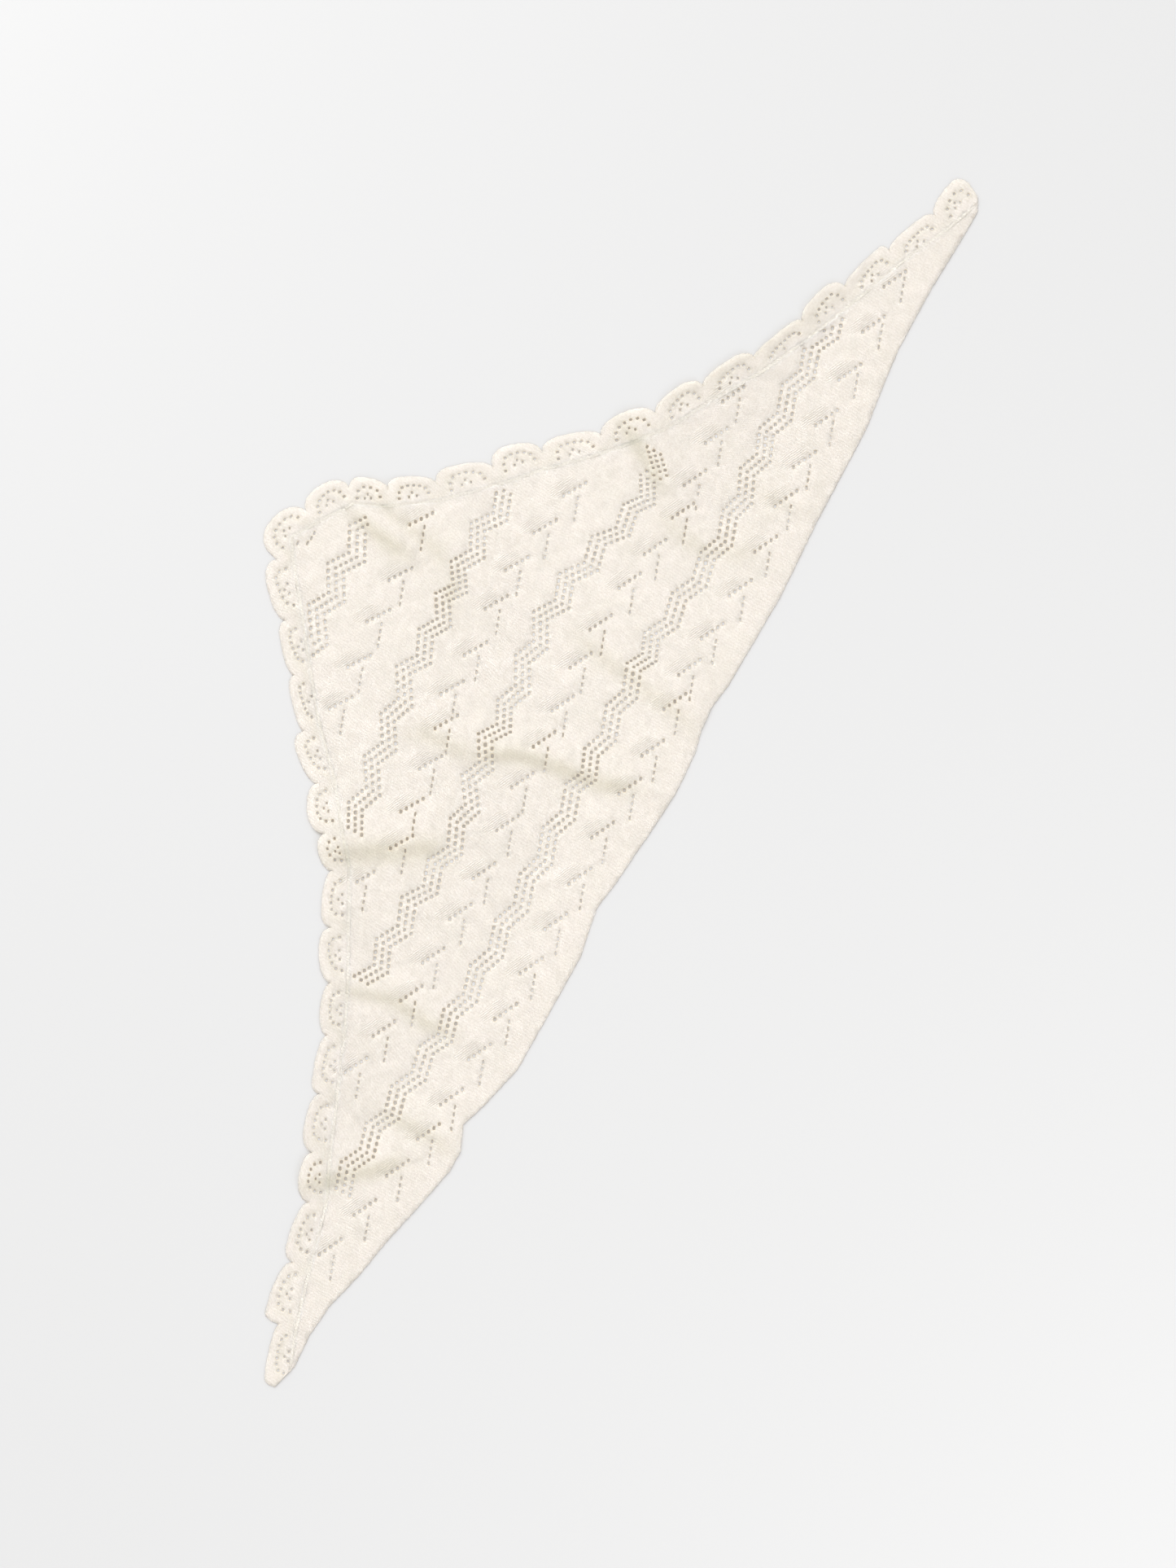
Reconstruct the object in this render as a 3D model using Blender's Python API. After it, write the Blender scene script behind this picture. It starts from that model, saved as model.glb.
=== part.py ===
"""Triangle lace shawl laid flat: a knitted lace panel with a scalloped knitted edging.

Lengths in the tables are millimetres on the surface that the shawl lies on.
x runs along the long straight edge, y from that edge to the point, z up.
"""
import math
import bmesh
import bpy
from mathutils import Vector
from mathutils.geometry import delaunay_2d_cdt

MM = 0.001

# Cloth and seam
WALL = 2.0
SEAM_GAP = 0.3
EDGING_WIDTH = 19.0

# Eyelets that are cut through
EYELET_SIDES = 5
PANEL_EYELET = (5.0, 4.3)
SCALLOP_EYELET = (5.6, 4.6)
BAND_EYELETS_CUT = (0, 2, 4, 6)
STEPS_DOWN, STEPS_UP = 4, 4
SHARE_DOWN = 0.45
#        shares of the way from the crest to the notches before and after, depth inside
SCALLOP_EYELETS = [(0.0, 0.0, 11.5), (0.42, 0.0, 12.5), (0.0, 0.42, 12.5)]

# Mesh spacing
EDGE_STEP = 24.0
SCALLOP_STEPS = 8
FOLD_STEP = 20.0
FOLD_ACROSS = (-9.5, -7.0, -4.5, -2.6, -1.0, 0.0, 1.0, 2.4, 4.2, 6.0)

# Long edge, from the lower tip to the upper tip
#            x     y
LONG_EDGE = [
    (-812, 0), (-780, -8), (-740, -5), (-700, -8), (-650, -20), (-600, -28),
    (-550, -39), (-490, -51), (-465, -50), (-437, -37), (-410, -46), (-350, -60),
    (-260, -59), (-200, -58), (-140, -46), (-100, -51), (-30, -56), (20, -59),
    (75, -55), (100, -48), (130, -45), (160, -49), (280, -50), (380, -43),
    (500, -39), (560, -30), (600, -25), (680, -23), (760, -25), (785, -25), (801, -16),
    (809, 0),
]

# Scallops from the lower tip round the point to the upper tip: crest and the notch after it
#            crest x, y    notch x, y
SCALLOPS = [
    (-806, 17, -745, 31), (-742, 53, -675, 53), (-662, 71, -605, 72),
    (-590, 96, -552, 97), (-537, 120, -489, 124), (-481, 141, -426, 151),
    (-407, 173, -370, 178), (-344, 211, -314, 210), (-305, 230, -256, 242),
    (-246, 268, -222, 271), (-215, 300, -176, 308), (-154, 352, -132, 353),
    (-97, 393, -81, 395), (-49, 434, -30, 435), (-1, 480, 26, 480),
    (53, 510, 92, 479), (129, 478, 140, 449), (157, 445, 160, 409),
    (180, 405, 194, 363), (218, 362, 243, 315), (272, 317, 288, 274),
    (314, 268, 339, 224), (378, 215, 392, 181), (436, 175, 449, 150),
    (495, 138, 508, 116), (564, 99, 573, 87), (620, 86, 632, 64),
    (692, 54, 695, 41), (746, 29, 756, 14), (800, 19, 809, 0),
]
FIRST_NOTCH = (-812, 4)
SEAM_STARTS = (-788, -6)
SEAM_POINT = (57, 479)
SEAM_ENDS = (794, -20)

# Middle row of eyelets in each zigzag band: crest of each repeat
#        fall of the zigzag, [(crest x, crest y)]
BANDS = [
    (10.0, [
        (-545, 55), (-492, 52), (-440, 48), (-383, 43), (-332, 40), (-272, 39),
        (-212, 40), (-150, 42), (-90, 46), (-33, 48), (14, 50), (70, 53),
        (125, 57), (166, 57), (222, 52), (280, 47), (335, 49), (388, 56),
        (440, 60), (496, 62), (552, 63), (605, 60)]),
    (13.0, [
        (-350, 150), (-300, 149), (-243, 148), (-190, 143), (-135, 145), (-85, 158),
        (-33, 166), (12, 166), (68, 174), (122, 181), (176, 177), (232, 166),
        (283, 153), (323, 153), (355, 163)]),
    (14.0, [
        (-178, 257), (-122, 268), (-70, 276), (-13, 288), (38, 287), (84, 291),
        (125, 294), (175, 296), (227, 291)]),
    (15.0, [(-2, 411), (51, 416), (102, 416)]),
]

# Folds that buckle the cloth: an easy rise on the left of the line, a steep fall along it
#        crest height, half width of the fall, [(x, y) along the fall]
FOLDS = [
    (4.6, 9, [(-600, 96), (-570, 62), (-540, 32), (-505, -4)]),
    (3.2, 8, [(-474, 62), (-470, 20), (-468, -15), (-472, -48)]),
    (3.8, 8, [(-374, 176), (-366, 150), (-352, 105), (-356, 60), (-352, 20)]),
    (6.4, 13, [(-250, 268), (-228, 232), (-205, 198), (-186, 170), (-165, 138)]),
    (3.2, 9, [(-80, 250), (-62, 226), (-64, 190), (-52, 158)]),
    (4.6, 9, [(-66, 172), (-52, 158), (-35, 128), (-24, 90), (-15, 30), (2, -22)]),
    (4.6, 8, [(116, 436), (110, 400), (104, 340)]),
    (3.0, 8, [(152, 440), (144, 410), (136, 370), (128, 325), (112, 298)]),
    (4.0, 8, [(66, 272), (92, 284), (122, 292)]),
    (4.6, 8, [(368, 224), (354, 188), (336, 156), (312, 126)]),
    (2.2, 9, [(296, 128), (286, 90), (282, 52), (300, 20), (316, -8)]),
    (2.6, 9, [(122, 140), (113, 70), (106, 10), (96, -50)]),
    (1.6, 9, [(372, 60), (374, 20), (382, -24)]),
    (1.8, 7, [(400, 186), (460, 150), (530, 110), (600, 76), (640, 58)]),
]
FOLD_RISE, FOLD_SWELL, FOLD_END = 6.0, 5.0, 9.5
SWELL_SHARE = 0.16
FOLD_TAPER = 38.0


# Plane geometry
def sub(a, b):
    return (a[0] - b[0], a[1] - b[1])


def length(a):
    return math.hypot(a[0], a[1])


def unit(a):
    size = length(a)
    return (a[0] / size, a[1] / size)


def resampled(points, step):
    """The same line with points added, so that none are further apart than step."""
    line = [points[0]]
    for a, b in zip(points, points[1:]):
        parts = max(1, math.ceil(length(sub(b, a)) / step))
        line += [(a[0] + (b[0] - a[0]) * i / parts, a[1] + (b[1] - a[1]) * i / parts)
                 for i in range(1, parts + 1)]
    return line


def inside(point, loop):
    x, y = point
    hit = False
    for (ax, ay), (bx, by) in zip(loop, loop[1:] + loop[:1]):
        if (ay > y) != (by > y) and x < ax + (y - ay) * (bx - ax) / (by - ay):
            hit = not hit
    return hit


def near_line(point, line):
    """Distance to a line of points, how far along it that is, its length, and if it is on the left."""
    best, place, run, left = 1e9, 0.0, 0.0, True
    for a, b in zip(line, line[1:]):
        ab, ap = sub(b, a), sub(point, a)
        span = length(ab)
        t = min(1.0, max(0.0, (ap[0] * ab[0] + ap[1] * ab[1]) / (span * span)))
        gap = math.hypot(ap[0] - t * ab[0], ap[1] - t * ab[1])
        if gap < best:
            best, place, left = gap, run + t * span, ab[0] * ap[1] - ab[1] * ap[0] > 0
        run += span
    return best, place, run, left


# Outline
def notches():
    return [FIRST_NOTCH] + [row[2:] for row in SCALLOPS]


def scallop_curve(start, crest, end, steps):
    """Rounded scallop between two notches: a steep rise, a round crest and an easy fall."""
    base = unit(sub(end, start))
    out = (-base[1], base[0])
    rise = (crest[0] - start[0]) * out[0] + (crest[1] - start[1]) * out[1]
    before = (crest[0] - start[0]) * base[0] + (crest[1] - start[1]) * base[1]
    after = length(sub(end, start)) - before
    points = []
    for i in range(1, steps):
        s = i / steps
        if s <= 0.45:
            angle = math.pi / 2 * s / 0.45
            along = before * (1 - math.cos(angle))
            up = rise * math.sin(angle) ** 0.85
        else:
            angle = math.pi / 2 * (s - 0.45) / 0.55
            along = before + after * math.sin(angle)
            up = rise * math.cos(angle) ** 0.85
        points.append((start[0] + base[0] * along + out[0] * up,
                       start[1] + base[1] * along + out[1] * up))
    return points


def scalloped_edge():
    line = [FIRST_NOTCH]
    for row in SCALLOPS:
        line += scallop_curve(line[-1], row[:2], row[2:], SCALLOP_STEPS) + [row[2:]]
    return line


def seam_line():
    """The join, one edging width inside the notches and up into the point."""
    marks = notches()
    line = [SEAM_STARTS]
    for before, mark, after in zip(marks, marks[1:], marks[2:]):
        along = unit(sub(after, before))
        line.append((mark[0] + along[1] * EDGING_WIDTH, mark[1] - along[0] * EDGING_WIDTH))
    middle = next(i for i, p in enumerate(line) if p[0] > SEAM_POINT[0])
    return line[:middle] + [SEAM_POINT] + line[middle:] + [SEAM_ENDS]


def moved_aside(line, gap):
    """A line moved to its left by gap, when seen along its direction."""
    moved = []
    for i, point in enumerate(line):
        before, after = line[max(i - 1, 0)], line[min(i + 1, len(line) - 1)]
        along = unit(sub(after, before))
        moved.append((point[0] - along[1] * gap, point[1] + along[0] * gap))
    return moved


def long_edge_part(low, high):
    return [p for p in LONG_EDGE if low < p[0] < high]


# Cloth height
def eased(t):
    """From 0 to 1 with soft ends."""
    return (1 - math.cos(math.pi * min(1.0, max(0.0, t)))) / 2


def fold_share(t):
    """Height across a fold: rises from its far left, falls at the line, and swells low after it."""
    if t > -1:
        fall = eased((t + 1) / 2)
        swell = SWELL_SHARE * eased((t - 1) / (FOLD_SWELL - 1))
        return 1 - fall + swell * (1 - eased((t - FOLD_SWELL) / (FOLD_END - FOLD_SWELL)))
    return 1 - eased((-1 - t) / (FOLD_RISE - 1))


def height(point):
    """How far the cloth stands off the surface at a place."""
    high = 0.0
    for rise, half, line in FOLDS:
        gap, place, run, left = near_line(point, line)
        ends = min(1.0, (place + 10) / FOLD_TAPER, (run - place + 10) / FOLD_TAPER)
        high += rise * fold_share(-gap / half if left else gap / half) * ends
    return high if high > 0.25 else 0.0


# Eyelets
def eyelet(centre, size, turn):
    """An oval hole of a few sides."""
    loop = []
    for i in range(EYELET_SIDES):
        angle = 2 * math.pi * i / EYELET_SIDES
        u, v = size[0] / 2 * math.cos(angle), size[1] / 2 * math.sin(angle)
        loop.append((centre[0] + u * math.cos(turn) - v * math.sin(turn),
                     centre[1] + u * math.sin(turn) + v * math.cos(turn)))
    return loop


def band_places():
    """Middle row of each zigzag band, at the steps of each repeat that are cut."""
    places = []
    for fall, crests in BANDS:
        for here, after in zip(crests, crests[1:]):
            for step in BAND_EYELETS_CUT:
                if step <= STEPS_DOWN:
                    drop = step / STEPS_DOWN
                    share = SHARE_DOWN * drop
                else:
                    drop = 1 - (step - STEPS_DOWN) / STEPS_UP
                    share = 1 - (1 - SHARE_DOWN) * drop
                places.append((here[0] + (after[0] - here[0]) * share,
                               here[1] + (after[1] - here[1]) * share - fall * drop))
    return places


def scallop_places():
    """The widest eyelets on the arc inside each scallop's plain rim."""
    places = []
    marks = notches()
    for start, row in list(zip(marks, SCALLOPS))[1:-1]:
        crest, end = row[:2], row[2:]
        along = unit(sub(end, start))
        for back, on, deep in SCALLOP_EYELETS:
            to_start, to_end = sub(start, crest), sub(end, crest)
            places.append((crest[0] + to_start[0] * back + to_end[0] * on + along[1] * deep,
                           crest[1] + to_start[1] * back + to_end[1] * on - along[0] * deep))
    return places


# Sheets
def fold_points(loop, holes):
    """Points along both sides of each fold, clear of the outline and the eyelets."""
    chosen = []
    for rise, half, line in FOLDS:
        path = resampled(line, FOLD_STEP)
        for i, point in enumerate(path):
            before, after = path[max(i - 1, 0)], path[min(i + 1, len(path) - 1)]
            along = unit(sub(after, before))
            for k in FOLD_ACROSS:
                place = (point[0] - along[1] * half * k, point[1] + along[0] * half * k)
                clear = all(length(sub(place, other)) > 6 for other in chosen)
                clear = clear and all(length(sub(place, hole)) > 5 for hole in holes)
                edge = near_line(place, loop + loop[:1])[0]
                if clear and edge > 5 and inside(place, loop):
                    chosen.append(place)
    return chosen


def sheet(name, loop, centres, size, middle):
    """A flat cut sheet with its eyelets, lifted onto the folds, with its wall straight above."""
    holes = [c for c in centres if inside(c, loop) and near_line(c, loop + loop[:1])[0] > 4.5]
    coords = [Vector(p) for p in loop]
    faces = [list(range(len(loop)))]
    for hole in holes:
        start = len(coords)
        coords += [Vector(p) for p in eyelet(hole, size, 0.3)]
        faces.append(list(range(start, start + EYELET_SIDES)))
    coords += [Vector(p) for p in fold_points(loop, holes)]
    verts, _, tris, _, _, origin = delaunay_2d_cdt(coords, [], faces, 1, 0.001, True)
    kept = [tri for tri, source in zip(tris, origin) if source == [0]]
    used = sorted({i for tri in kept for i in tri})
    place = {old: new for new, old in enumerate(used)}
    points = [((verts[i].x - middle[0]) * MM, (verts[i].y - middle[1]) * MM,
               height((verts[i].x, verts[i].y)) * MM) for i in used]
    mesh = bpy.data.meshes.new(name)
    mesh.from_pydata(points, [], [[place[i] for i in tri] for tri in kept])
    shape = bmesh.new()
    shape.from_mesh(mesh)
    grown = bmesh.ops.extrude_face_region(shape, geom=shape.faces[:], use_keep_orig=True)
    risen = [g for g in grown["geom"] if isinstance(g, bmesh.types.BMVert)]
    bmesh.ops.translate(shape, vec=(0, 0, WALL * MM), verts=risen)
    bmesh.ops.recalc_face_normals(shape, faces=shape.faces[:])
    shape.to_mesh(mesh)
    shape.free()
    cloth = bpy.data.objects.new(name, mesh)
    bpy.context.scene.collection.objects.link(cloth)
    print(name, "eyelets", len(holes), "sheet triangles", len(kept))
    return cloth


def wool(cloth, colour):
    material = bpy.data.materials.new(cloth.name)
    material.use_nodes = True
    shader = material.node_tree.nodes["Principled BSDF"]
    shader.inputs["Base Color"].default_value = (*colour, 1.0)
    shader.inputs["Roughness"].default_value = 0.95
    shader.inputs["Metallic"].default_value = 0.0
    cloth.data.materials.append(material)


def main():
    for thing in list(bpy.data.objects):
        bpy.data.objects.remove(thing, do_unlink=True)
    outer = scalloped_edge()
    seam = resampled(seam_line(), EDGE_STEP)
    low, high = SEAM_STARTS[0], SEAM_ENDS[0]
    panel_loop = (resampled([SEAM_STARTS] + long_edge_part(low, high) + [SEAM_ENDS], EDGE_STEP)[:-1]
                  + seam[::-1][:-1])
    join = moved_aside(seam, SEAM_GAP)
    edging_loop = ([LONG_EDGE[0]] + long_edge_part(LONG_EDGE[0][0], low - 0.5) + join
                   + long_edge_part(high + 0.5, LONG_EDGE[-1][0]) + outer[::-1])
    everything = LONG_EDGE + outer
    middle = ((min(p[0] for p in everything) + max(p[0] for p in everything)) / 2,
              (min(p[1] for p in everything) + max(p[1] for p in everything)) / 2)
    panel = sheet("lace_panel", panel_loop, band_places(), PANEL_EYELET, middle)
    edging = sheet("scalloped_edging", edging_loop, scallop_places(), SCALLOP_EYELET, middle)
    wool(panel, (0.88, 0.83, 0.76))
    wool(edging, (0.89, 0.84, 0.77))


main()
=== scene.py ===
import math
import bpy
import numpy as np
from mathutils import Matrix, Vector
from mathutils.geometry import delaunay_2d_cdt


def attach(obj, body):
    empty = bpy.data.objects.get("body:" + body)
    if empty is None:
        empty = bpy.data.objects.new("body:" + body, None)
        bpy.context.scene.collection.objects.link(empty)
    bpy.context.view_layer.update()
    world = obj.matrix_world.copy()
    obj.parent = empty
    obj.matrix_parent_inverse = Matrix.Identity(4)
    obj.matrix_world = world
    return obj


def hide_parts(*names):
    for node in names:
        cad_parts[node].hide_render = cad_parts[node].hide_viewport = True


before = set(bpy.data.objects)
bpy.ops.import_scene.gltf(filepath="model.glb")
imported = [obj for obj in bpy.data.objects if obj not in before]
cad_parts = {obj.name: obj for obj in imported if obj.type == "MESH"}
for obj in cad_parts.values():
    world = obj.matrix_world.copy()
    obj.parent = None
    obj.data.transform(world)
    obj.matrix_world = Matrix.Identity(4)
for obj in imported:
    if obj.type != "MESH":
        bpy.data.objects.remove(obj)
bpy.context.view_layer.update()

# Lengths are millimetres on the surface that the shawl lies on: x along the long edge,
# y from that edge to the point. Everything is moved to the part's own frame at the end.
MM = 0.001
rng = np.random.default_rng(7)

# Cloth: its thickness, then that of its edges and of the walls in its eyelets, the share of its
# width that an eyelet keeps at the underside, how far its rim may lie from its middle, and the
# yarn between one eyelet and the next
THICK = 1.7
RIM_THICK = 0.95
EYELET_THICK = 0.9
EYELET_WAIST = 0.77
EYELET_REACH = 4.2
YARN_BETWEEN = 1.3
SQUARENESS = 0.65
# Painted shade on the walls of the eyelets: what the wool's own colour is multiplied by there
EYELET_PAINTED_SHADE = (0.93, 0.81, 0.64)
SEAM_GAP = 0.3
SEAM_JOINS = 0.6
EDGING_WIDTH = 19.0
COURSE = 3.35
COURSES_A_REPEAT = 16.0
WALES_A_BAND = 39.0
BAND_TO_BAND = 118.0
SEE_THROUGH = 0.5
BACK_SEE_THROUGH = 0.97
EYELET_SEE_THROUGH = 0.55

# Long edge, from the lower tip to the upper tip
#            x     y
LONG_EDGE = [
    (-812, 0), (-780, -8), (-740, -5), (-700, -8), (-650, -20), (-600, -28),
    (-550, -39), (-490, -51), (-465, -50), (-437, -37), (-410, -46), (-350, -60),
    (-260, -59), (-200, -58), (-140, -46), (-100, -51), (-30, -56), (20, -59),
    (75, -55), (100, -48), (130, -45), (160, -49), (280, -50), (380, -43),
    (500, -39), (560, -30), (600, -25), (680, -23), (760, -25), (785, -25), (801, -16),
    (809, 0),
]

# Scallops from the lower tip round the point to the upper tip: crest and the notch after it
#            crest x, y    notch x, y
SCALLOPS = [
    (-806, 17, -745, 31), (-742, 53, -675, 53), (-662, 71, -605, 72),
    (-590, 96, -552, 97), (-537, 120, -489, 124), (-481, 141, -426, 151),
    (-407, 173, -370, 178), (-344, 211, -314, 210), (-305, 230, -256, 242),
    (-246, 268, -222, 271), (-215, 300, -176, 308), (-154, 352, -132, 353),
    (-97, 393, -81, 395), (-49, 434, -30, 435), (-1, 480, 26, 480),
    (53, 510, 92, 479), (129, 478, 140, 449), (157, 445, 160, 409),
    (180, 405, 194, 363), (218, 362, 243, 315), (272, 317, 288, 274),
    (314, 268, 339, 224), (378, 215, 392, 181), (436, 175, 449, 150),
    (495, 138, 508, 116), (564, 99, 573, 87), (620, 86, 632, 64),
    (692, 54, 695, 41), (746, 29, 756, 14), (800, 19, 809, 0),
]
FIRST_NOTCH = (-812, 4)
SEAM_STARTS = (-788, -6)
SEAM_POINT = (57, 479)
SEAM_ENDS = (794, -20)

# Zigzag bands: three rows of eyelets each, with the middle row's crest in every repeat
#        number of the first repeat, step between rows, fall, [(crest x, crest y)]
BANDS = [
    (-10, 9.0, 10.0, [
        (-545, 55), (-492, 52), (-440, 48), (-383, 43), (-332, 40), (-272, 39),
        (-212, 40), (-150, 42), (-90, 46), (-33, 48), (14, 50), (70, 53),
        (125, 57), (166, 57), (222, 52), (280, 47), (335, 49), (388, 56),
        (440, 60), (496, 62), (552, 63), (605, 60)]),
    (-7, 9.0, 13.0, [
        (-350, 150), (-300, 149), (-243, 148), (-190, 143), (-135, 145), (-85, 158),
        (-33, 166), (12, 166), (68, 174), (122, 181), (176, 177), (232, 166),
        (283, 153), (323, 153), (355, 163)]),
    (-4, 9.0, 14.0, [
        (-178, 257), (-122, 268), (-70, 276), (-13, 288), (38, 287), (84, 291),
        (125, 294), (175, 296), (227, 291)]),
    (-2, 10.5, 15.0, [(-56, 401), (-2, 411), (51, 416), (102, 416)]),
]
STEPS_DOWN, STEPS_UP = 4, 4
SHARE_DOWN = 0.45
#              wide high turn
DOWN_EYELET = (6.2, 5.0, 0.4)
UP_EYELET = (6.9, 5.1, 0.48)
END_EYELET = (5.0, 4.5, 0.0)

# Small motifs between the bands: where the falling line of five eyelets starts
#        fall of that line over its run, [(x, y)]
MOTIF_ROWS = [
    ((28, -13), [
        (-652, 32), (-592, 20), (-533, 10), (-478, 0), (-430, -3), (-368, -5),
        (-312, -8), (-251, -7), (-192, -6), (-132, -4), (-72, 0), (-12, -2),
        (40, -3), (100, 2), (143, 7), (193, 5), (253, 2), (312, 2), (370, 8),
        (420, 12), (475, 14), (535, 17), (597, 21), (655, 26)]),
    ((27, -13), [
        (-453, 112), (-400, 105), (-348, 98), (-297, 98), (-237, 96), (-182, 96),
        (-120, 100), (-68, 110), (-14, 112), (33, 114), (87, 121), (137, 123),
        (196, 118), (245, 112), (298, 105), (338, 112), (393, 115), (445, 122)]),
    ((26, -15), [
        (-260, 215), (-200, 197), (-157, 208), (-103, 214), (-53, 222), (-15, 236),
        (38, 235), (97, 241), (148, 243), (202, 236), (257, 228)]),
    ((25, -16), [(-95, 340), (-42, 346), (15, 353), (70, 355), (138, 366)]),
]
FALLING_EYELETS, RISING_EYELETS = 5, 4
FALLING_EYELET = (5.9, 4.5, 0.42)
RISING_EYELET = (6.4, 3.2, 0.45)
# The rising line: where it starts, seen from the motif's own start, and its run and rise. It
# moves along towards the upper tip, more and more from one x and over a length
RISING_START, RISING_RUN = (-18, -25), (24, 9)
RISING_MOVES, MOVES_FROM, MOVES_OVER = 14, 300, 350
# The leaf of slanted stitches over each falling line
LEAF_LONG, LEAF_WIDE, LEAF_HIGH = 48.0, 22.0, 0.3
LEAF_ABOVE, LEAF_BACK, LEAF_FROM_SEAM = 9.0, 10.0, 4
MOTIF_REACH = 30
HATCH = 2.3
HATCH_ACROSS = (0.42, 0.907)
# Short lines of eyelets in the point, and where the last band goes under the fold beside it
POINT_PLACES = [(74, 458), (67, 458), (60, 459), (54, 469), (47, 469), (40, 470)]
POINT_EYELET = (6.4, 3.2, 0.2)
LAST_PLACES = [(108, 422.5), (113.6, 419), (119.2, 415.5), (108, 412.5), (113.6, 409)]
LAST_EYELET = (5.0, 4.8, 0.4)
# Middle row of the rising steps with which two bands begin
FIRST_STEPS = [(-552.5, 52.5), (-560, 50), (-567.5, 47.5), (-575, 45),
               (-184.3, 253.5), (-190.5, 250), (-196.8, 246.5), (-203, 243)]
FIRST_EYELET = (6.0, 4.9, 0.48)

# Scallop eyelets: an arc, with its feet at shares of the width, and a fan of three inside it
ARC_EYELETS, NARROW_ARC_EYELETS, NARROW_SCALLOP = 8, 6, 55
ARC_EYELET = (4.8, 4.0)
ARC_FROM, ARC_TO, ARC_FOOT = 0.22, 0.82, -11.5
ARC_PEAK_FROM, ARC_PEAK_TO = 0.36, 0.68
# The far foot stands higher, and both do where a scallop stands out further than most
FAR_FOOT, USUAL_RISE, FOOT_SHARE = 3, 16, 0.9
FAN = ((0.42, -13.0), (0.49, -8.3), (0.58, -12.5))
FAN_EYELET = (4.2, 3.4, 0.6)
RIM = 11.5

# Ribs beside the eyelets, and the rim of the edging
RIB_HIGH, OUTER_RIB_HIGH, RIB_HALF = 0.45, 0.3, 1.9
MOTIF_RIB_HIGH, MOTIF_RIB_ASIDE, MOTIF_RIB_HALF = 0.4, 3.4, 2.0
PAST_X, PAST_Y = 3, 1.5
RIM_HIGH, RIM_CREST, RIM_HALF = 0.3, 4.5, 5.5

# Linked line over the seam: half width and height, and what each link adds
RIDGE_HALF, RIDGE_HIGH = (2.0, 0.25), (0.1, 0.1)
RIDGE_STEP, RIDGE_SIDES, RIDGE_TAPER, RIDGE_SUNK = 1.1, 7, 12, 0.05

# Folds that buckle the cloth: an easy rise on the left of the line, a steep fall along it
#        crest height, half width of the fall, [(x, y) along the fall]
FOLDS = [
    (4.6, 9, [(-600, 96), (-570, 62), (-540, 32), (-505, -4)]),
    (3.2, 8, [(-474, 62), (-470, 20), (-468, -15), (-472, -48)]),
    (3.8, 8, [(-374, 176), (-366, 150), (-352, 105), (-356, 60), (-352, 20)]),
    (6.4, 13, [(-250, 268), (-228, 232), (-205, 198), (-186, 170), (-165, 138)]),
    (3.2, 9, [(-80, 250), (-62, 226), (-64, 190), (-52, 158)]),
    (4.6, 9, [(-66, 172), (-52, 158), (-35, 128), (-24, 90), (-15, 30), (2, -22)]),
    (4.6, 8, [(116, 436), (110, 400), (104, 340)]),
    (3.0, 8, [(152, 440), (144, 410), (136, 370), (128, 325), (112, 298)]),
    (4.0, 8, [(66, 272), (92, 284), (122, 292)]),
    (4.6, 8, [(368, 224), (354, 188), (336, 156), (312, 126)]),
    (2.2, 9, [(296, 128), (286, 90), (282, 52), (300, 20), (316, -8)]),
    (2.6, 9, [(122, 140), (113, 70), (106, 10), (96, -50)]),
    (1.6, 9, [(372, 60), (374, 20), (382, -24)]),
    (1.8, 7, [(400, 186), (460, 150), (530, 110), (600, 76), (640, 58)]),
]
FOLD_RISE, FOLD_SWELL, FOLD_END = 6.0, 5.0, 9.5
SWELL_SHARE = 0.16
FOLD_TAPER, FOLD_PAST = 38.0, 10
# Shade painted into the colour of the falls: the height from which it is full, and how far past the
# fall it goes
FULL_SHADE, SHADE_PAST = 4.6, 1.3
# Shade painted into the colour of the hollow in each scallop: how dark, how far from the edge, and half
# its width
PAINTED_HOLLOW_SHADE, HOLLOW_IN, HOLLOW_HALF = 0.4, 14, 8

# Unevenness: what it adds everywhere, the level it is cut off below and how sharply, and the
# width over which it settles towards an edge
LEAST_LIFT, WAVE_LEVEL, WAVE_CUT, SETTLING = 0.12, 0.55, 4, 16

# Spacing of the points in each sheet, and what an eyelet needs round it: the least distance
# from the eyelet before, and the cloth left beside the sheet's edge
PANEL_STEP, PANEL_LEAST, PANEL_MARGIN = 4.4, 5.2, 1.6
EDGING_STEP, EDGING_LEAST, EDGING_MARGIN = 3.2, 4.9, 1.2


# Plane geometry
def sub(a, b):
    return (a[0] - b[0], a[1] - b[1])


def length(a):
    return math.hypot(a[0], a[1])


def unit(a):
    size = length(a)
    return (a[0] / size, a[1] / size)


def resampled(points, step):
    line = [points[0]]
    for a, b in zip(points, points[1:]):
        parts = max(1, math.ceil(length(sub(b, a)) / step))
        line += [(a[0] + (b[0] - a[0]) * i / parts, a[1] + (b[1] - a[1]) * i / parts)
                 for i in range(1, parts + 1)]
    return line


def evenly(points, count):
    """count places along a line, the same distance apart."""
    runs = [0.0]
    for a, b in zip(points, points[1:]):
        runs.append(runs[-1] + length(sub(b, a)))
    at = np.linspace(0, runs[-1], count)
    xs = np.interp(at, runs, [p[0] for p in points])
    ys = np.interp(at, runs, [p[1] for p in points])
    return list(zip(xs, ys))


def near_line(xy, line):
    """For many points: distance to a line, how far along it, its whole length, and the side."""
    best = np.full(len(xy), 1e9)
    place = np.zeros(len(xy))
    side = np.zeros(len(xy))
    run = 0.0
    for a, b in zip(line, line[1:]):
        ab = np.array(sub(b, a), float)
        span = math.hypot(*ab)
        ap = xy - np.array(a, float)
        t = np.clip((ap @ ab) / span ** 2, 0, 1)
        off = ap - t[:, None] * ab
        gap = np.hypot(off[:, 0], off[:, 1])
        nearer = gap < best
        best = np.where(nearer, gap, best)
        place = np.where(nearer, run + t * span, place)
        side = np.where(nearer, np.sign(ab[0] * ap[:, 1] - ab[1] * ap[:, 0]), side)
        run += span
    return best, place, run, side


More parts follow.
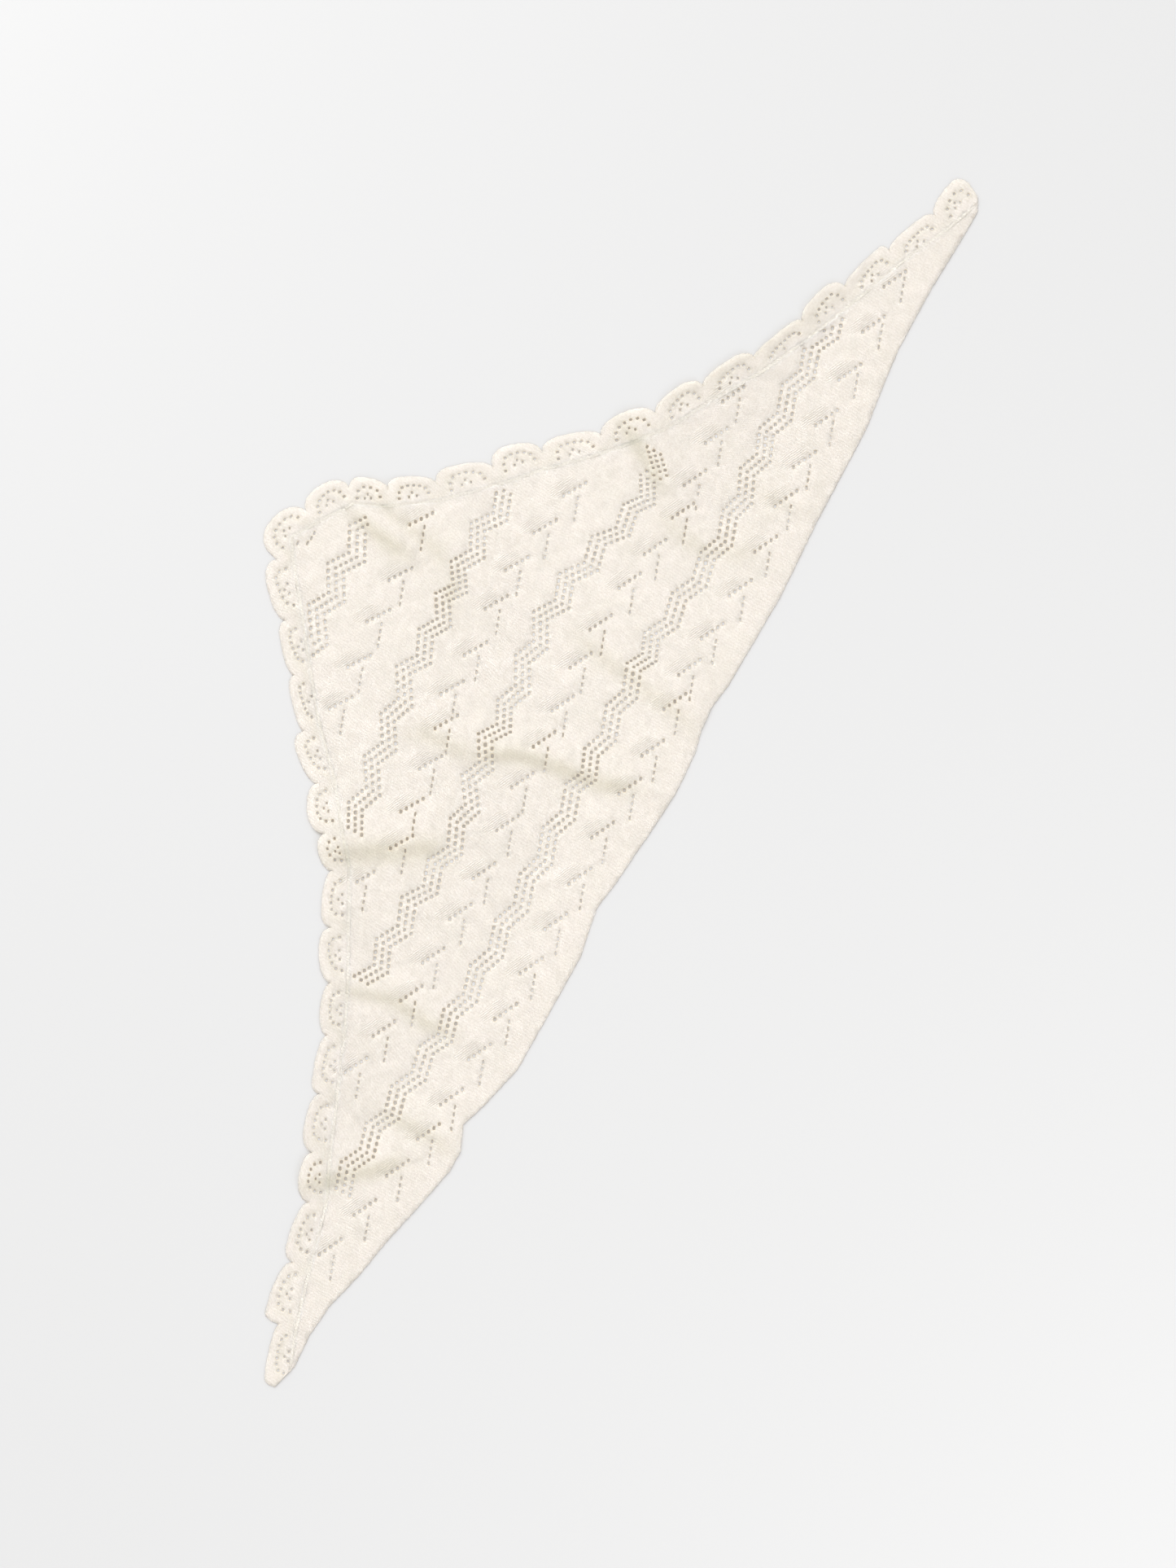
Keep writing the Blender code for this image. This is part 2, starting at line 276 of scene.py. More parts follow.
def inside(xy, loop):
    x, y = xy[:, 0], xy[:, 1]
    hit = np.zeros(len(xy), bool)
    for (ax, ay), (bx, by) in zip(loop, loop[1:] + loop[:1]):
        if ay != by:
            crosses = (ay > y) != (by > y)
            hit ^= crosses & (x < ax + (y - ay) * (bx - ax) / (by - ay))
    return hit


# Outline
def notches():
    return [FIRST_NOTCH] + [row[2:] for row in SCALLOPS]


def scallop_curve(start, crest, end, steps):
    base = unit(sub(end, start))
    out = (-base[1], base[0])
    rise = (crest[0] - start[0]) * out[0] + (crest[1] - start[1]) * out[1]
    before = (crest[0] - start[0]) * base[0] + (crest[1] - start[1]) * base[1]
    after = length(sub(end, start)) - before
    points = []
    for i in range(1, steps):
        s = i / steps
        if s <= 0.45:
            angle = math.pi / 2 * s / 0.45
            along = before * (1 - math.cos(angle))
            up = rise * math.sin(angle) ** 0.85
        else:
            angle = math.pi / 2 * (s - 0.45) / 0.55
            along = before + after * math.sin(angle)
            up = rise * math.cos(angle) ** 0.85
        points.append((start[0] + base[0] * along + out[0] * up,
                       start[1] + base[1] * along + out[1] * up))
    return points


def scalloped_edge(steps=32):
    line = [FIRST_NOTCH]
    for row in SCALLOPS:
        line += scallop_curve(line[-1], row[:2], row[2:], steps) + [row[2:]]
    return line


def seam_line():
    marks = notches()
    line = [SEAM_STARTS]
    for before, mark, after in zip(marks, marks[1:], marks[2:]):
        along = unit(sub(after, before))
        line.append((mark[0] + along[1] * EDGING_WIDTH, mark[1] - along[0] * EDGING_WIDTH))
    middle = next(i for i, p in enumerate(line) if p[0] > SEAM_POINT[0])
    return line[:middle] + [SEAM_POINT] + line[middle:] + [SEAM_ENDS]


def moved_aside(line, gap):
    moved = []
    for i, point in enumerate(line):
        before, after = line[max(i - 1, 0)], line[min(i + 1, len(line) - 1)]
        along = unit(sub(after, before))
        moved.append((point[0] - along[1] * gap, point[1] + along[0] * gap))
    return moved


def long_edge_part(low, high):
    return [p for p in LONG_EDGE if low < p[0] < high]


# Knitting: repeat and row numbers at a place, for the stitches to follow
def band_line(band, row=0.0):
    """The zigzag through one row of a band, with its corners only."""
    _, step, fall, crests = band
    line = []
    for here, after in zip(crests, crests[1:]):
        line.append((here[0], here[1] + row * step))
        line.append((here[0] + (after[0] - here[0]) * SHARE_DOWN,
                     here[1] + (after[1] - here[1]) * SHARE_DOWN - fall + row * step))
    line.append((crests[-1][0], crests[-1][1] + row * step))
    return line


def along_table(x, xs, values):
    """Interpolation that goes on past both ends at the end slopes."""
    found = np.interp(x, xs, values)
    first = (values[1] - values[0]) / (xs[1] - xs[0])
    last = (values[-1] - values[-2]) / (xs[-1] - xs[-2])
    found = np.where(x < xs[0], values[0] + (x - xs[0]) * first, found)
    return np.where(x > xs[-1], values[-1] + (x - xs[-1]) * last, found)


def lattice(xy):
    """Course and wale numbers at each place."""
    x, y = xy[:, 0], xy[:, 1]
    repeats, heights = [], []
    for first, _, fall, crests in BANDS:
        xs = [c[0] for c in crests]
        repeats.append(along_table(x, xs, [first + i for i in range(len(xs))]))
        heights.append(np.interp(x, xs, [c[1] for c in crests]) - fall / 2)
    repeats = np.array(repeats)
    heights = np.array(heights)
    n = repeats[0].copy()
    t = (y - heights[0]) / BAND_TO_BAND
    for b in range(len(BANDS) - 1):
        share = (y - heights[b]) / (heights[b + 1] - heights[b])
        within = share > 0
        n = np.where(within, repeats[b] + np.clip(share, 0, 1) * (repeats[b + 1] - repeats[b]), n)
        t = np.where(within, b + share, t)
    return n * COURSES_A_REPEAT, t * WALES_A_BAND


# Height of the cloth
def bump(t):
    return (1 + np.cos(np.pi * np.clip(np.abs(t), 0, 1))) / 2


def eased(t):
    return (1 - np.cos(np.pi * np.clip(t, 0, 1))) / 2


def fold_ends(place, run):
    """1 along most of a fold, falling to 0 past both ends."""
    return np.clip((np.minimum(place, run - place) + FOLD_PAST) / FOLD_TAPER, 0, 1)


def fold_height(xy):
    high = np.zeros(len(xy))
    for rise, half, line in FOLDS:
        gap, place, run, side = near_line(xy, line)
        t = np.where(side > 0, -gap, gap) / half
        swell = (SWELL_SHARE * eased((t - 1) / (FOLD_SWELL - 1))
                 * (1 - eased((t - FOLD_SWELL) / (FOLD_END - FOLD_SWELL))))
        after = 1 - eased((t + 1) / 2) + swell
        before = 1 - eased((-1 - t) / (FOLD_RISE - 1))
        high += rise * np.where(t > -1, after, before) * fold_ends(place, run)
    return high


def painted_fold_shade(xy):
    """Painted shade: 1 in the strongest falls of the folds, less in the hollow of each scallop, 0
    elsewhere.
    """
    shade = PAINTED_HOLLOW_SHADE * bump((near_line(xy, OUTER)[0] - HOLLOW_IN) / HOLLOW_HALF)
    for rise, half, line in FOLDS:
        gap, place, run, _ = near_line(xy, line)
        fall = min(1.0, rise / FULL_SHADE) * np.exp(-(gap / half / SHADE_PAST) ** 2)
        shade = np.maximum(shade, fall * fold_ends(place, run))
    return shade


def wave(shortest, longest, high):
    """One swell of the cloth: its length, direction, start and height."""
    return (rng.uniform(shortest, longest), rng.uniform(0, math.pi), rng.uniform(0, 6.28), high)


WAVES = [wave(20, 44, 0.13) for _ in range(18)] + [wave(60, 130, 0.15) for _ in range(8)]


def undulation(xy):
    """Soft unevenness of unblocked knitting."""
    total = np.zeros(len(xy))
    for size, turn, start, high in WAVES:
        along = xy[:, 0] * math.cos(turn) + xy[:, 1] * math.sin(turn)
        total += high * np.sin(along / size * 2 * math.pi + start)
    from_edge = np.minimum(near_line(xy, OUTER)[0], near_line(xy, LONG_EDGE)[0])
    settled = np.clip(from_edge / SETTLING, 0.1, 1)
    return LEAST_LIFT + settled * np.logaddexp(0, (total + WAVE_LEVEL) * WAVE_CUT) / WAVE_CUT


# Eyelets: place, size and turn
def placed(place, form):
    return (place, form[:2], form[2])


def band_eyelets():
    found = []
    for _, step, fall, crests in BANDS:
        for row in (1, 0, -1):
            for here, after in zip(crests, crests[1:]):
                for k in range(STEPS_DOWN + STEPS_UP):
                    down = k <= STEPS_DOWN
                    drop = k / STEPS_DOWN if down else 1 - (k - STEPS_DOWN) / STEPS_UP
                    share = SHARE_DOWN * drop if down else 1 - (1 - SHARE_DOWN) * drop
                    part = SHARE_DOWN / STEPS_DOWN if down else (1 - SHARE_DOWN) / STEPS_UP
                    room = math.hypot((after[0] - here[0]) * part, fall / STEPS_DOWN) - YARN_BETWEEN
                    place = (here[0] + (after[0] - here[0]) * share,
                             here[1] + (after[1] - here[1]) * share - fall * drop + row * step)
                    wide, high, turn = DOWN_EYELET if down else UP_EYELET
                    found.append((place, (min(wide, room), high), turn))
            found.append(placed((crests[-1][0], crests[-1][1] + row * step), END_EYELET))
    return found


def motif_eyelets():
    found = []
    for (run, fall), starts in MOTIF_ROWS:
        for x, y in starts:
            for i in range(FALLING_EYELETS):
                part = i / (FALLING_EYELETS - 1)
                found.append(placed((x + run * part, y + fall * part), FALLING_EYELET))
            along = RISING_MOVES * min(1.0, max(0.0, (x - MOVES_FROM) / MOVES_OVER))
            for i in range(RISING_EYELETS):
                part = i / (RISING_EYELETS - 1)
                place = (x + RISING_START[0] + along + RISING_RUN[0] * part,
                         y + RISING_START[1] + RISING_RUN[1] * part)
                found.append(placed(place, RISING_EYELET))
    found += [placed(place, POINT_EYELET) for place in POINT_PLACES]
    found += [placed(place, LAST_EYELET) for place in LAST_PLACES]
    step = BANDS[0][1]
    found += [placed((x, y + row * step), FIRST_EYELET) for x, y in FIRST_STEPS for row in (1, 0, -1)]
    return found


def scallop_eyelets():
    found = []
    for start, row in zip(notches(), SCALLOPS):
        crest, end = row[:2], row[2:]
        base = unit(sub(end, start))
        out = (-base[1], base[0])
        wide = length(sub(end, start))
        rise = (crest[0] - start[0]) * out[0] + (crest[1] - start[1]) * out[1]
        peak = ((crest[0] - start[0]) * base[0] + (crest[1] - start[1]) * base[1]) / wide
        foot = ARC_FOOT + max(0.0, rise - USUAL_RISE) * FOOT_SHARE

        def local(u, v):
            return (start[0] + base[0] * u * wide + out[0] * v,
                    start[1] + base[1] * u * wide + out[1] * v)
        left, right = local(ARC_FROM, foot), local(ARC_TO, foot + FAR_FOOT)
        top = local(min(ARC_PEAK_TO, max(ARC_PEAK_FROM, peak)), rise - RIM)
        arch = [left] + scallop_curve(left, top, right, 16) + [right]
        count = ARC_EYELETS if wide > NARROW_SCALLOP else NARROW_ARC_EYELETS
        for place in evenly(arch, count):
            found.append((place, ARC_EYELET, math.atan2(base[1], base[0])))
        for u, v in FAN:
            found.append(placed(local(u, rise - RIM + v), FAN_EYELET))
    return found


def spaced(eyelets, loop, least, margin):
    """Those that lie in the loop with cloth round them, none too close to the one before."""
    xy = np.array([e[0] for e in eyelets])
    gap = near_line(xy, loop + loop[:1])[0]
    within = inside(xy, loop)
    kept = []
    for eyelet, far, ok in zip(eyelets, gap, within):
        if not ok or far < eyelet[1][0] / 2 + margin:
            continue
        if all(length(sub(eyelet[0], other[0])) >= least for other in kept):
            kept.append(eyelet)
    return kept


def eyelet_loop(eyelet, sides=8):
    """One eyelet's outline, a rounded oblong, each a little different."""
    (x, y), (wide, high), turn = eyelet
    turn += rng.uniform(-0.15, 0.15)
    wide *= rng.uniform(0.9, 1.08)
    high *= rng.uniform(0.88, 1.08)
    loop = []
    for i in range(sides):
        angle = 2 * math.pi * (i + 0.5) / sides
        c, s = math.cos(angle), math.sin(angle)
        u = wide / 2 * math.copysign(abs(c) ** SQUARENESS, c)
        v = high / 2 * math.copysign(abs(s) ** SQUARENESS, s)
        loop.append((x + u * math.cos(turn) - v * math.sin(turn),
                     y + u * math.sin(turn) + v * math.cos(turn)))
    return loop


# Sheets: what their materials are numbered, and the ribs between a band's rows
FACE, BACK, PAINTED_SHADE_IN_EYELETS = 0, 1, 2
RIB_ROWS = (1.5, 0.5, -0.5, -1.5)


class Spread:
    """Points that keep their distance from each other."""
    def __init__(self, cell):
        self.cell = cell
        self.bins = {}

    def add(self, points):
        for p in points:
            self.bins.setdefault((int(p[0] // self.cell), int(p[1] // self.cell)), []).append(p)

    def clear(self, p, least):
        i, j = int(p[0] // self.cell), int(p[1] // self.cell)
        for a in (i - 1, i, i + 1):
            for b in (j - 1, j, j + 1):
                for q in self.bins.get((a, b), ()):
                    if (p[0] - q[0]) ** 2 + (p[1] - q[1]) ** 2 < least * least:
                        return False
        return True


def grid(loop, step):
    """Points all over a loop, in uneven rows."""
    xs = [p[0] for p in loop]
    ys = [p[1] for p in loop]
    rows = np.arange(min(ys), max(ys), step * 0.866)
    found = []
    for j, y in enumerate(rows):
        x = np.arange(min(xs) + (j % 2) * step / 2, max(xs), step)
        found.append(np.column_stack([x, np.full(len(x), y)]))
    found = np.concatenate(found)
    found += rng.uniform(-0.12 * step, 0.12 * step, found.shape)
    keep = inside(found, loop) & (near_line(found, loop + loop[:1])[0] > step * 0.55)
    return found[keep]


def leaves(xy):
    """Where the slanted stitches lie above each falling line: 1 in the middle of each leaf."""
    found = np.zeros(len(xy))
    for (run, fall), starts in MOTIF_ROWS:
        along = unit((run, fall))
        for x, y in starts:
            mid = (x + run / 2 - along[0] * LEAF_BACK - along[1] * LEAF_ABOVE,
                   y + fall / 2 - along[1] * LEAF_BACK + along[0] * LEAF_ABOVE)
            near = (np.abs(xy - mid) < MOTIF_REACH).all(axis=1)
            off = xy[near] - mid
            u = (off @ np.array(along)) / (LEAF_LONG / 2)
            v = (off @ np.array((-along[1], along[0]))) / (LEAF_WIDE / 2)
            found[near] = np.maximum(found[near], np.clip(1 - u * u - v * v, 0, 1))
    return found


def relief(xy):
    """How far the knitting's ribs stand out of its face."""
    high = np.zeros(len(xy))
    for band in BANDS:
        for row in RIB_ROWS:
            gap = near_line(xy, band_line(band, row))[0]
            rib = RIB_HIGH if abs(row) < 1 else OUTER_RIB_HIGH
            high = np.maximum(high, rib * np.exp(-(gap / RIB_HALF) ** 2))
    for (run, fall), starts in MOTIF_ROWS:
        for x, y in starts:
            for aside in (MOTIF_RIB_ASIDE, -MOTIF_RIB_ASIDE):
                line = [(x - PAST_X, y + PAST_Y + aside), (x + run + PAST_X, y + fall - PAST_Y + aside)]
                near = (np.abs(xy - (x + run / 2, y)) < MOTIF_REACH).all(axis=1)
                gap = near_line(xy[near], line)[0]
                rib = MOTIF_RIB_HIGH * np.exp(-(gap / MOTIF_RIB_HALF) ** 2)
                high[near] = np.maximum(high[near], rib)
    return high


def panel_lift(xy):
    return relief(xy) + LEAF_HIGH * leaves(xy) ** 0.7


def edging_lift(xy):
    return RIM_HIGH * bump((near_line(xy, OUTER)[0] - RIM_CREST) / RIM_HALF)


def flat_cut(loop, eyelets, step, extra):
    """A sheet cut flat, with its eyelets open: its points and triangles."""
    spread = Spread(step)
    coords = [Vector(p) for p in loop]
    faces = [list(range(len(loop)))]
    spread.add(loop)
    for eyelet in eyelets:
        hole = eyelet_loop(eyelet)
        start = len(coords)
        coords += [Vector(p) for p in hole]
        faces.append(list(range(start, start + len(hole))))
        spread.add(hole)
        spread.add([eyelet[0]])
    for points, least in ((extra, step * 0.5), (grid(loop, step), step * 0.62)):
        for p in points:
            if spread.clear(p, least):
                spread.add([p])
                coords.append(Vector(p))
    verts, _, tris, _, _, origin = delaunay_2d_cdt(coords, [], faces, 1, 0.0005, True)
    tris = np.array([t for t, source in zip(tris, origin) if source == [0]])
    used = np.unique(tris)
    renumber = np.full(len(verts), -1)
    renumber[used] = np.arange(len(used))
    return np.array([(v.x, v.y) for v in verts])[used], renumber[tris]


def open_edges(tris):
    """Edges with a triangle on one side only, in that triangle's direction."""
    edges = np.concatenate([tris[:, [0, 1]], tris[:, [1, 2]], tris[:, [2, 0]]]).tolist()
    both = {(a, b) for a, b in edges}
    return [(a, b) for a, b in edges if (b, a) not in both]


def give(mesh, name, *columns):
    """Three numbers for each point, for the wool to read."""
    values = np.column_stack(columns).astype(np.float32)
    mesh.attributes.new(name, "FLOAT_VECTOR", "POINT").data.foreach_set("vector", values.ravel())


def shown(name, mesh):
    made = bpy.data.objects.new(name, mesh)
    bpy.context.scene.collection.objects.link(made)
    return made


def shell(name, loop, eyelets, step, extra, lift):
    """A closed thin shell with its eyelets open: face, underside and a wall at every edge."""
    xy, tris = flat_cut(loop, eyelets, step, extra)
    border = open_edges(tris)
    count = len(xy)
    on_rim = np.zeros(count, bool)
    on_rim[[a for a, b in border]] = True
    on_rim &= near_line(xy, SEAM)[0] >= SEAM_JOINS
    low = fold_height(xy) + undulation(xy)
    thick = np.where(on_rim, RIM_THICK, THICK + lift(xy))
    centres = np.array([e[0] for e in eyelets])
    waist = xy.copy()
    for i in np.flatnonzero(on_rim):
        away = np.hypot(*(centres - xy[i]).T)
        near = away.argmin()
        if away[near] < EYELET_REACH:
            waist[i] = centres[near] + (xy[i] - centres[near]) * EYELET_WAIST
            thick[i] = EYELET_THICK
    points = np.empty((2 * count, 3))
    points[:count, :2] = (xy - MIDDLE) * MM
    points[count:, :2] = (waist - MIDDLE) * MM
    points[:count, 2] = (low + thick) * MM
    points[count:, 2] = low * MM
    polygons = [tuple(t) for t in tris.tolist()]
    polygons += [(c + count, b + count, a + count) for a, b, c in tris.tolist()]
    polygons += [(b, a, a + count, b + count) for a, b in border]
    mesh = bpy.data.meshes.new(name)
    mesh.from_pydata(points.tolist(), [], polygons)
    # Walls in the eyelets take the wool with painted shade, the other walls that of the underside
    walls = [PAINTED_SHADE_IN_EYELETS if thick[a] == EYELET_THICK else BACK for a, b in border]
    mesh.polygons.foreach_set("material_index", [FACE] * len(tris) + [BACK] * len(tris) + walls)
    mesh.polygons.foreach_set("use_smooth", [True] * 2 * len(tris) + [False] * len(walls))
    course, wale = lattice(xy)
    lines = (xy @ np.array(HATCH_ACROSS)) / HATCH
    leaf = leaves(xy) * (near_line(xy, SEAM)[0] > LEAF_FROM_SEAM)
    give(mesh, "knit", np.tile(course, 2), np.tile(wale, 2), np.zeros(2 * count))
    # marks: painted shade of the folds and scallop hollows, the leaves, and the slanted lines
    give(mesh, "marks", np.tile(painted_fold_shade(xy), 2), np.tile(leaf, 2), np.tile(lines, 2))
    print(name, "eyelets", len(eyelets), "points", count, "triangles",
          2 * len(tris) + 2 * len(border))
    return shown(name, mesh)


def linked_ridge(name):
    """The line of linked stitches that covers the join: low half-round links, one for each course."""
    path = np.array(resampled(SEAM, RIDGE_STEP))
    along = np.gradient(path, axis=0)
    along /= np.hypot(along[:, 0], along[:, 1])[:, None]
    runs = np.concatenate([[0], np.cumsum(np.hypot(*np.diff(path, axis=0).T))])
    swell = 0.5 + 0.5 * np.cos(2 * np.pi * runs / COURSE)
    ends = np.clip(np.minimum(runs, runs[-1] - runs) / RIDGE_TAPER, 0.05, 1)
    base = fold_height(path) + undulation(path) + THICK - RIDGE_SUNK
    sides = RIDGE_SIDES
    rows = []
    for i in range(sides):
        angle = math.pi * i / (sides - 1)
        wide = (RIDGE_HALF[0] + RIDGE_HALF[1] * swell) * ends * math.cos(angle)
        high = (RIDGE_HIGH[0] + RIDGE_HIGH[1] * swell) * ends * math.sin(angle)
        x = path[:, 0] - along[:, 1] * wide
        y = path[:, 1] + along[:, 0] * wide
        rows.append(np.column_stack([(x - MIDDLE[0]) * MM, (y - MIDDLE[1]) * MM, (base + high) * MM]))
    points = np.stack(rows, axis=1).reshape(-1, 3)
    faces = []
    for k in range(len(path) - 1):
        for i in range(sides):
            j = (i + 1) % sides
            faces.append((k * sides + i, k * sides + j, (k + 1) * sides + j, (k + 1) * sides + i))
    last = (len(path) - 1) * sides
    faces.append(tuple(range(sides))[::-1])
    faces.append(tuple(range(last, last + sides)))
    mesh = bpy.data.meshes.new(name)
    mesh.from_pydata(points.tolist(), [], faces)
    mesh.shade_smooth()
    course, wale = (np.repeat(numbers, sides) for numbers in lattice(path))
    none = np.zeros(len(points))
    give(mesh, "knit", course, wale + np.tile(np.linspace(0, 1, sides), len(path)), none)
    # marks: painted shade of the folds and scallop hollows, with no leaves or lines here
    give(mesh, "marks", np.repeat(painted_fold_shade(path), sides), none, none)
    return shown(name, mesh)


# Materials
# Noise in the wool: how fine it is, and its detail
GRAIN, DRIFT, FUZZ, PATCHES = (430, 2), (95, 2), (900, 3), (26, 4, 0.6)
# How far the drift moves the stitches, in courses and wales, and the slanted lines
COURSE_DRIFT, WALE_DRIFT, HATCH_DRIFT = 2.2, 1.6, 1.2
STRAND_SLANT = 0.9
BUMP_STRENGTH, BUMP_HIGH = 0.8, 0.0016
# Colours that the wool's own is multiplied by: painted shade between strands and painted shade in a
# fall, and in patches and specks, each from one value of their noise to another
PAINTED_SHADE_BETWEEN_STRANDS = (0.72, 0.705, 0.68)
PAINTED_SHADE_IN_A_FALL = (0.87, 0.875, 0.81)
PATCH_COLOURS = (0.3, (0.945, 0.95, 0.93)), (0.7, (1, 0.995, 0.99))
SPECK_COLOURS = (0.38, (0.86, 0.85, 0.835)), (0.58, (1, 1, 1))
UNEVEN_FROM, UNEVEN_TO = (0.4, 0.6), (0.935, 1.0)
PASSED_BY_FACE, PASSED_BY_BACK = (0.97, 0.95, 0.90), (0.98, 0.87, 0.72)
ROUGH = 0.95


def node(tree, kind, **values):
    made = tree.nodes.new(kind)
    for key, value in values.items():
        setattr(made, key, value)
    return made


def give_input(tree, socket, source):
    """A number, a colour of three numbers, or another node's output."""
    if isinstance(source, (int, float)):
        socket.default_value = source
    elif isinstance(source, tuple):
        socket.default_value = (*source, 1)
    else:
        tree.links.new(source, socket)


def maths(tree, operation, *sources):
    made = node(tree, "ShaderNodeMath", operation=operation)
    for socket, source in zip(made.inputs, sources):
        give_input(tree, socket, source)
    return made.outputs[0]


def noise(tree, place, fine, detail, rough=0.5):
    made = node(tree, "ShaderNodeTexNoise")
    made.inputs["Scale"].default_value = fine
    made.inputs["Detail"].default_value = detail
    made.inputs["Roughness"].default_value = rough
    tree.links.new(place, made.inputs["Vector"])
    return made.outputs


def mixed(tree, blend, share, a, b):
    made = node(tree, "ShaderNodeMix", data_type="RGBA", blend_type=blend)
    for name, source in (("Factor", share), ("A", a), ("B", b)):
        give_input(tree, made.inputs[name], source)
    return made.outputs["Result"]


def ranged(tree, source, before, after):
    made = node(tree, "ShaderNodeMapRange")
    names = ("From Min", "From Max", "To Min", "To Max")
    for name, number in zip(names, (*before, *after)):
        made.inputs[name].default_value = number
    tree.links.new(source, made.inputs["Value"])
    return made.outputs[0]


def ramp(tree, source, ends):
    made = node(tree, "ShaderNodeValToRGB")
    for element, (place, colour) in zip(made.color_ramp.elements, ends):
        element.position = place
        element.color = (*colour, 1)
    tree.links.new(source, made.inputs["Fac"])
    return made.outputs["Color"]


def carried(tree, name):
    """The three numbers that the points carry under a name."""
    read = node(tree, "ShaderNodeAttribute", attribute_name=name, attribute_type="GEOMETRY")
    axes = node(tree, "ShaderNodeSeparateXYZ")
    tree.links.new(read.outputs["Vector"], axes.inputs[0])
    return axes.outputs


def ridges(tree, number, each=1):
    """Rounded ridges, so many for each whole number."""
    return maths(tree, "ABSOLUTE", maths(tree, "SINE", maths(tree, "MULTIPLY", number, each * math.pi)))


def weighted(tree, a, share_a, b, share_b):
    return maths(tree, "ADD", maths(tree, "MULTIPLY", a, share_a), maths(tree, "MULTIPLY", b, share_b))


def drifted(tree, number, moved, far):
    return maths(tree, "ADD", number, maths(tree, "MULTIPLY", moved, far))


def stitches(tree, leaf, lines, grain, moved):
    """Two slanting strands in each wale, and slanted lines of stitches in the leaves."""
    course, wale, _ = carried(tree, "knit")
    course = drifted(tree, course, moved[0], COURSE_DRIFT)
    wale = drifted(tree, wale, moved[1], WALE_DRIFT)
    away = maths(tree, "ABSOLUTE", maths(tree, "SUBTRACT", maths(tree, "FRACT", wale), 0.5))
    strand = ridges(tree, drifted(tree, course, away, STRAND_SLANT))
    column = ridges(tree, away, 2)
    knitted = maths(tree, "MULTIPLY", maths(tree, "POWER", strand, 0.6),
                    maths(tree, "POWER", column, 0.5))
    hatch = ridges(tree, drifted(tree, lines, moved[1], HATCH_DRIFT))
    dotted = maths(tree, "MULTIPLY", hatch, maths(
        tree, "ADD", maths(tree, "MULTIPLY", strand, 0.5), 0.5))
    slanted = maths(tree, "SUBTRACT", maths(tree, "MULTIPLY", dotted, 1.7), 0.45)
    within = maths(tree, "MINIMUM", maths(
        tree, "MULTIPLY", leaf, maths(tree, "MULTIPLY", grain, 3.2)), 1.0)
    outside = maths(tree, "SUBTRACT", 1.0, within)
    return maths(tree, "ADD", maths(tree, "MULTIPLY", slanted, within),
                 maths(tree, "MULTIPLY", knitted, outside))


def wool(name, tint, see_through, passed=PASSED_BY_FACE):
    """Cream wool in stocking stitch, that lets some light through, with shade painted between its
    strands and in the falls of the folds and the scallop hollows.
    """
    material = bpy.data.materials.new(name)
    material.use_nodes = True
    tree = material.node_tree
    shader = tree.nodes["Principled BSDF"]
    place = node(tree, "ShaderNodeTexCoord").outputs["Object"]
    grain, fuzz, patches = (noise(tree, place, *form)["Fac"] for form in (GRAIN, FUZZ, PATCHES))
    split = node(tree, "ShaderNodeSeparateColor")
    tree.links.new(noise(tree, place, *DRIFT)["Color"], split.inputs[0])
    moved = split.outputs
    painted_shade, leaf, lines = carried(tree, "marks")
    stitch = stitches(tree, leaf, lines, grain, moved)

    bump_node = node(tree, "ShaderNodeBump")
    bump_node.inputs["Strength"].default_value = BUMP_STRENGTH
    bump_node.inputs["Distance"].default_value = BUMP_HIGH
    tree.links.new(weighted(tree, stitch, 0.75, fuzz, 0.5), bump_node.inputs["Height"])
    tree.links.new(bump_node.outputs["Normal"], shader.inputs["Normal"])

    # Painted shade: colour darkened between the strands and along the slanted lines, where the stitches
    # sink
    lit = ranged(tree, weighted(tree, stitch, 0.6, fuzz, 0.5), (0, 1), (0, 1))
    strand_shade_colour = tuple(c * share for c, share in zip(tint, PAINTED_SHADE_BETWEEN_STRANDS))
    uneven = node(tree, "ShaderNodeVectorMath", operation="SCALE")
    tree.links.new(mixed(tree, "MIX", lit, strand_shade_colour, tint), uneven.inputs[0])
    tree.links.new(ranged(tree, moved[2], UNEVEN_FROM, UNEVEN_TO), uneven.inputs["Scale"])
    colour = mixed(tree, "MULTIPLY", 1.0, uneven.outputs[0], ramp(tree, patches, PATCH_COLOURS))
    # Painted shade: darker, greener colour in the falls of the folds and the scallop hollows
    colour = mixed(tree, "MULTIPLY", painted_shade, colour, PAINTED_SHADE_IN_A_FALL)
    colour = mixed(tree, "MULTIPLY", 1.0, colour, ramp(tree, grain, SPECK_COLOURS))
    tree.links.new(colour, shader.inputs["Base Color"])
    for key, value in (("Roughness", ROUGH), ("Sheen Weight", 0.35), ("Sheen Roughness", 0.6),
                       ("Specular IOR Level", 0.2)):
        shader.inputs[key].default_value = value

    through = node(tree, "ShaderNodeBsdfTranslucent")
    through.inputs["Color"].default_value = (*passed, 1)
    blend = node(tree, "ShaderNodeMixShader")
    blend.inputs["Fac"].default_value = see_through
    tree.links.new(shader.outputs[0], blend.inputs[1])
    tree.links.new(through.outputs[0], blend.inputs[2])
    tree.links.new(blend.outputs[0], tree.nodes["Material Output"].inputs["Surface"])
    return material


def plain(name, colour):
    material = bpy.data.materials.new(name)
    material.use_nodes = True
    shader = material.node_tree.nodes["Principled BSDF"]
    shader.inputs["Base Color"].default_value = (*colour, 1)
    shader.inputs["Roughness"].default_value = ROUGH
    return material


# Build
OUTER = scalloped_edge()
SEAM = resampled(seam_line(), 3.0)
EVERYTHING = LONG_EDGE + scalloped_edge(8)
MIDDLE = np.array([(min(p[i] for p in EVERYTHING) + max(p[i] for p in EVERYTHING)) / 2
                   for i in (0, 1)])


